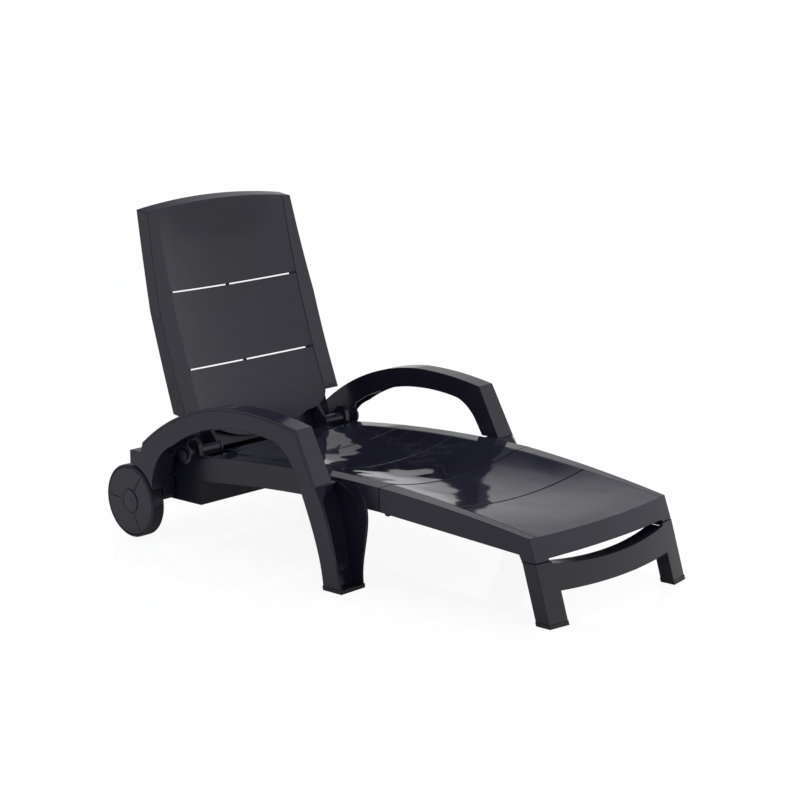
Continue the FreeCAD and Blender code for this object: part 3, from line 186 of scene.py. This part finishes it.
def back_lines(shader, place, upward):
    """The grooves beside the back's stiles, and the cuts that run on from the slits' ends."""
    sine, cosine = math.sin(BACK_LEAN), math.cos(BACK_LEAN)
    sideways = shader.along(place, SIDEWAYS)
    across = abs(sideways)
    rise = shader.along(place, (0.0, sine, cosine)) - (BACK_PIVOT[0] * sine + BACK_PIVOT[1] * cosine)
    # The grooves' bump and their painted shade are full on the far side (+X) and fade to 0.3 on the near
    # side (-X).
    groove_depth_and_shade = shader.ramp(sideways, -0.20, 0.10) * 0.7 + 0.3
    lines = shader.line(across, BACK_GROOVE, BACK_GROOVE_HALF) * groove_depth_and_shade
    lines = lines * shader.within(rise, *BACK_GROOVE_ENDS)
    uncut = (1.0 - shader.within(across, *SLIT_OPEN)) * shader.within(across, -1.0, BACK_GROOVE)
    for slit in SLIT_HEIGHTS:
        lines = lines + shader.line(rise, slit, SLIT_HALF) * uncut
    return lines * (1.0 - upward) * 0.8


def circle_through(first, second, third):
    """Centre (y, z) and radius of the circle through three points of a side view."""
    (ya, za), (yb, zb), (yc, zc) = first, second, third
    twice = 2 * (ya * (zb - zc) + yb * (zc - za) + yc * (za - zb))
    a, b, c = ya * ya + za * za, yb * yb + zb * zb, yc * yc + zc * zc
    middle_y = (a * (zb - zc) + b * (zc - za) + c * (za - zb)) / twice
    middle_z = (a * (yc - yb) + b * (ya - yc) + c * (yb - ya)) / twice
    return (middle_y, middle_z), math.hypot(ya - middle_y, za - middle_z)


def arm_bead(shader, place, upward):
    """The bead that follows the arm's outer edge, a little way in on its outer face."""
    y = shader.along(place, REARWARD)
    z = shader.along(place, UP)
    side_view = shader.node("ShaderNodeVectorMath", {0: place, 1: (0.0, 1.0, 1.0)}, operation="MULTIPLY")
    inward = (y - ARM_CORNER[0]) * ARM_LEG_LINE[1] - (z - ARM_CORNER[1]) * ARM_LEG_LINE[0]
    bead = shader.line(inward, BEAD_INSET, BEAD_HALF)
    bead = bead * shader.within(z, ARM_LEG_FOOT, ARM_CORNER[1] - 0.008)
    for sweep in ARM_SWEEPS:
        centre, radius = circle_through(*sweep)
        inputs = {0: side_view, 1: (0.0, *centre)}
        reach = shader.node("ShaderNodeVectorMath", inputs, "Value", operation="DISTANCE")
        here = shader.within(y, sweep[0][0] + 0.002, sweep[2][0])
        bead = bead + shader.line(reach, radius - BEAD_INSET, BEAD_HALF) * here
    across = abs(shader.along(place, SIDEWAYS))
    outer = shader.ramp(across, ARM_OUTER_FACE - 0.001, ARM_OUTER_FACE + 0.001)
    return bead * outer * (1.0 - upward) * 0.5


def resin(name, colour, rough, top_rough=None, wave=0.0, ripple=5.5, grain=1.0, groove=None,
          edge_painted_shade=0.75):
    """Injection-moulded resin: faint mottling, orange peel, slow shrinkage waves, painted shade along
    the edges.

    Faces that look up are polished to top_rough. The shrinkage waves are wave deep, ripple of
    them to the metre. groove draws the lines that are cut in the mould and paints shade into them.
    """
    material = bpy.data.materials.new(name)
    shader = Shader(material)
    place = shader.place()
    normal, edge, upward = shader.edges(0.0028)
    cloud = shader.noise(place, 4.0, 3.0)
    speck = shader.noise(place, 700.0)
    scuff = shader.noise(place, 55.0, 6.0, 0.7)
    body = shader.mix(shader.ramp(cloud * 0.8 + speck * 0.2, 0.30, 0.70), tinted(colour, 0.75), colour)
    body = shader.mix(shader.ramp(scuff, 0.62, 0.80) * 0.6, body, tinted(colour, 1.5, 0.004))
    gloss = upward * ((top_rough or rough) - rough) + rough
    dull = gloss * (1.0 + (cloud - 0.5) * 0.3) + shader.ramp(scuff, 0.55, 0.80) * 0.03
    peel = shader.noise(place, 420.0) * grain + shader.noise(place, 120.0) * (0.6 * grain)
    relief = shader.bump(peel, 0.00005, normal)
    if wave:
        relief = shader.bump(shader.noise(place, ripple, 1.0), wave, relief)
    # Painted shade: near the edges, and in the cut grooves below, the resin is mixed toward a flat black
    # sheet.
    painted_shade = edge * edge_painted_shade
    if groove:
        sunk = groove(shader, place, upward)
        relief = shader.bump(1.0 - sunk, 0.0008, relief)
        painted_shade = 1.0 - (1.0 - painted_shade) * (1.0 - sunk * 0.9)
    inputs = {"Base Color": body, "Roughness": dull, "Normal": relief, "IOR": 1.5}
    coat = shader.node("ShaderNodeBsdfPrincipled", inputs)
    # The flat black sheet that the painted shade mixes in.
    inputs = {"Base Color": PAINTED_SHADE_BLACK, "Roughness": 1.0, "Specular IOR Level": 0.0}
    painted_shade_sheet = shader.node("ShaderNodeBsdfPrincipled", inputs)
    shader.surface(shader.node("ShaderNodeMixShader", {0: painted_shade, 1: coat, 2: painted_shade_sheet}))
    return material


def metal(name, colour, rough, metallic=1.0):
    """Bright-zinc or powder-coated steel with fine drawn lines."""
    material = bpy.data.materials.new(name)
    shader = Shader(material)
    place = shader.place()
    normal, edge, _ = shader.edges(0.0008)
    fine = shader.noise(place, 900.0, 3.0)
    broad = shader.noise(place, 30.0, 4.0)
    body = shader.mix(shader.ramp(broad, 0.3, 0.7), tinted(colour, 0.7), colour)
    inputs = {"Base Color": body, "Metallic": metallic, "Roughness": fine * 0.12 + edge * 0.05 + rough}
    inputs["Normal"] = shader.bump(fine, 0.00003, normal)
    shader.surface(shader.node("ShaderNodeBsdfPrincipled", inputs))
    return material


polished = resin("polished_resin", srgb(29, 28, 41), 0.30, 0.04, wave=0.0022, ripple=9.0,
                 grain=0.15, groove=rail_border)
sheen = resin("sheen_resin", ANTHRACITE, 0.30, 0.07, wave=0.0018, ripple=9.0, grain=0.2,
              groove=rail_border)
satin = resin("satin_resin", ANTHRACITE, 0.30, 0.10, wave=0.0005, grain=0.9, groove=back_lines)
glossy = resin("glossy_resin", srgb(23, 21, 34), 0.24, 0.12, wave=0.0006, grain=0.4)
# Painted highlight: the ribs are the legs' resin, made paler to show the glints along them, with no
# painted shade on their edges.
rib_highlight = resin("rib_highlight_resin", srgb(62, 61, 74), 0.20, edge_painted_shade=0.0)
armrest = resin("armrest_resin", ANTHRACITE, 0.24, 0.12, wave=0.0006, grain=0.4, groove=arm_bead)
hidden = resin("inner_resin", srgb(28, 28, 40), 0.35)
rolling = resin("wheel_resin", srgb(34, 32, 44), 0.30)
sole = resin("foot_resin", srgb(24, 24, 34), 0.45)
coated = metal("coated_steel", srgb(40, 40, 44), 0.38, 0.35)
zinc = metal("zinc_steel", srgb(168, 168, 172), 0.28)

FINISHES = {
    polished: ("seat_shell",),
    sheen: ("leg_rest_shell",),
    satin: ("backrest_shell",),
    armrest: ("left_arm", "right_arm"),
    glossy: ("front_leg_frame",),
    hidden: ("left_hinge_collar", "right_hinge_collar", "rear_box", "left_prop_guide",
             "right_prop_guide"),
    rolling: ("left_wheel", "right_wheel", "left_wheel_disc", "right_wheel_disc",
              "left_hub_cap", "right_hub_cap"),
    sole: ("arm_foot_caps", "leg_frame_foot_caps"),
    coated: ("prop_bail", "arm_screws", "box_screws", "guide_screws"),
    zinc: ("axle", "axle_washers", "left_back_hinge_pin", "right_back_hinge_pin", "leg_rest_pins",
           "leg_frame_pins", "prop_pins"),
}
for material, names in FINISHES.items():
    for name in names:
        NODES[name].data.materials.clear()
        NODES[name].data.materials.append(material)


# ---- moulded ribs in the arm legs ---------------------------------------------------------
def choose(*chosen):
    """Selects these objects only, with the first one active."""
    bpy.ops.object.select_all(action="DESELECT")
    for thing in chosen:
        thing.select_set(True)
    bpy.context.view_layer.objects.active = chosen[0]


def edit_all():
    bpy.ops.object.mode_set(mode="EDIT")
    bpy.ops.mesh.select_all(action="SELECT")


def first_rib():
    """One upright rib over the fan's root at the origin."""
    bpy.ops.object.select_all(action="DESELECT")
    bpy.ops.mesh.primitive_cube_add(size=1.0)
    edit_all()
    bpy.ops.transform.resize(value=RIB_SIZE)
    bpy.ops.mesh.bevel(offset=RIB_ROUNDING, segments=2)
    bpy.ops.mesh.select_all(action="SELECT")
    bpy.ops.transform.translate(value=(0.0, 0.0, RIB_REACH))
    bpy.ops.object.mode_set(mode="OBJECT")
    return bpy.context.object


def copy_of(original):
    choose(original)
    bpy.ops.object.duplicate()
    return bpy.context.object


def rib_fan():
    """Five short ribs that fan out from the origin and lean with the recess's back wall."""
    ribs = [first_rib()]
    ribs += [copy_of(ribs[0]) for _ in RIB_TURNS[1:]]
    for rib, turn in zip(ribs, RIB_TURNS):
        choose(rib)
        edit_all()
        bpy.ops.transform.rotate(value=math.radians(turn), orient_axis="Y",
                                 center_override=(0.0, 0.0, 0.0))
        bpy.ops.transform.rotate(value=RIB_LEAN, orient_axis="X", center_override=(0.0, 0.0, 0.0))
        bpy.ops.object.mode_set(mode="OBJECT")
    choose(*ribs)
    bpy.ops.object.join()
    bpy.ops.object.shade_smooth_by_angle(angle=math.radians(35))
    return bpy.context.object


left_fan = rib_fan()
for name, fan, side in (("right_leg_ribs", copy_of(left_fan), -1.0), ("left_leg_ribs", left_fan, 1.0)):
    choose(fan)
    edit_all()
    bpy.ops.transform.translate(value=(side * RIB_ROOT[0], RIB_ROOT[1], RIB_ROOT[2]))
    bpy.ops.object.mode_set(mode="OBJECT")
    fan.name = name
    fan.data.materials.append(rib_highlight)
    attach(fan, "frame")

# ---- studio ------------------------------------------------------------------------------
FLOOR_GLOW = 0.80               # share of plain white that the eye sees on the floor
bpy.ops.object.select_all(action="DESELECT")
bpy.ops.mesh.primitive_plane_add(size=60.0, location=(0, 0, -0.0005))
floor = bpy.context.object
floor.name = "studio_floor"
paper = bpy.data.materials.new("studio_floor")
shader = Shader(paper)
to_camera = shader.node("ShaderNodeLightPath", output="Is Camera Ray")
inputs = {"Base Color": (0.6, 0.6, 0.6, 1.0), "Roughness": 0.05, "IOR": 2.2}
lit = shader.node("ShaderNodeBsdfPrincipled", inputs)
glow = shader.node("ShaderNodeEmission", {"Color": WHITE, "Strength": 1.13})
shader.surface(shader.node("ShaderNodeMixShader", {0: to_camera * FLOOR_GLOW, 1: lit, 2: glow}))
floor.data.materials.append(paper)

# What polished faces see of the room: a bright band low down all round, which fades upward;
# a tall pale screen off the foot end on the sitter's left; and dark toward the foot end on the
# sitter's right.
ROOM_DARK, ROOM_PALE = (0.012, 0.012, 0.024, 1.0), (0.95, 0.95, 0.95, 1.0)
DAYLIGHT = (0.95, 0.95, 0.98, 1.0)
SCREEN_SIDE, DARK_SIDE = (0.80, -0.60, 0.0), (-0.71, -0.70, 0.0)
world = bpy.data.worlds.new("studio")
bpy.context.scene.world = world
shader = Shader(world)
seen = shader.node("ShaderNodeLightPath", output="Is Camera Ray")
clear = shader.node("ShaderNodeLightPath", output="Is Transmission Ray")
shiny = shader.node("ShaderNodeLightPath", output="Is Glossy Ray")
toward = shader.node("ShaderNodeTexCoord", output="Generated")
height = shader.along(toward, UP)
horizon = 0.78 - shader.ramp(height, 0.10, 0.13) * 0.43 - shader.ramp(height, 0.30, 0.62) * 0.30
gloom = shader.ramp(shader.along(toward, DARK_SIDE), 0.55, 0.85)
aside = shader.along(toward, SCREEN_SIDE)
panel = shader.ramp(aside, 0.09, 0.20) * 0.55 + shader.ramp(aside, 0.30, 0.60) * 0.35
panel = panel * (1.0 - shader.ramp(height, 0.50, 0.80))
bright = 1.0 - (1.0 - horizon * (1.0 - gloom)) * (1.0 - panel)
colour = shader.mix(shiny, DAYLIGHT, shader.mix(bright, ROOM_DARK, ROOM_PALE))
colour = shader.mix(seen + clear, colour, WHITE)
sky = shader.node("ShaderNodeBackground", {"Color": colour, "Strength": 1.0})
shader.node("ShaderNodeOutputWorld", {"Surface": sky})

LAMP_PLACE, LAMP_TARGET = Vector((0.4, 0.4, 3.6)), Vector((0.0, -0.1, 0.3))
light = bpy.data.lights.new("overhead", "AREA")
light.shape = "RECTANGLE"
light.size, light.size_y = 2.6, 1.8
light.energy = 35.0
lamp = bpy.data.objects.new("overhead", light)
bpy.context.scene.collection.objects.link(lamp)
facing = (LAMP_TARGET - LAMP_PLACE).to_track_quat("-Z", "Y")
lamp.matrix_world = Matrix.Translation(LAMP_PLACE) @ facing.to_matrix().to_4x4()

# ---- camera ------------------------------------------------------------------------------
AZIMUTH, ELEVATION, ROLL = (math.radians(a) for a in (-45.8, 12.6, -1.6))
STAND = Vector((-3.4862, -3.5532, 1.4401))
back = Vector((math.sin(AZIMUTH) * math.cos(ELEVATION), -math.cos(AZIMUTH) * math.cos(ELEVATION),
               math.sin(ELEVATION)))
level = Vector((math.cos(AZIMUTH), math.sin(AZIMUTH), 0.0))
upright = back.cross(level)
right = math.cos(ROLL) * level + math.sin(ROLL) * upright
above = -math.sin(ROLL) * level + math.cos(ROLL) * upright
lens = bpy.data.cameras.new("view")
lens.lens = 89.84
lens.shift_x, lens.shift_y = -0.0501, 0.0301
lens.clip_end = 200.0
camera = bpy.data.objects.new("view", lens)
bpy.context.scene.collection.objects.link(camera)
camera.matrix_world = Matrix.Translation(STAND) @ Matrix((right, above, back)).transposed().to_4x4()
bpy.context.scene.camera = camera
bpy.context.scene.view_settings.view_transform = "Standard"
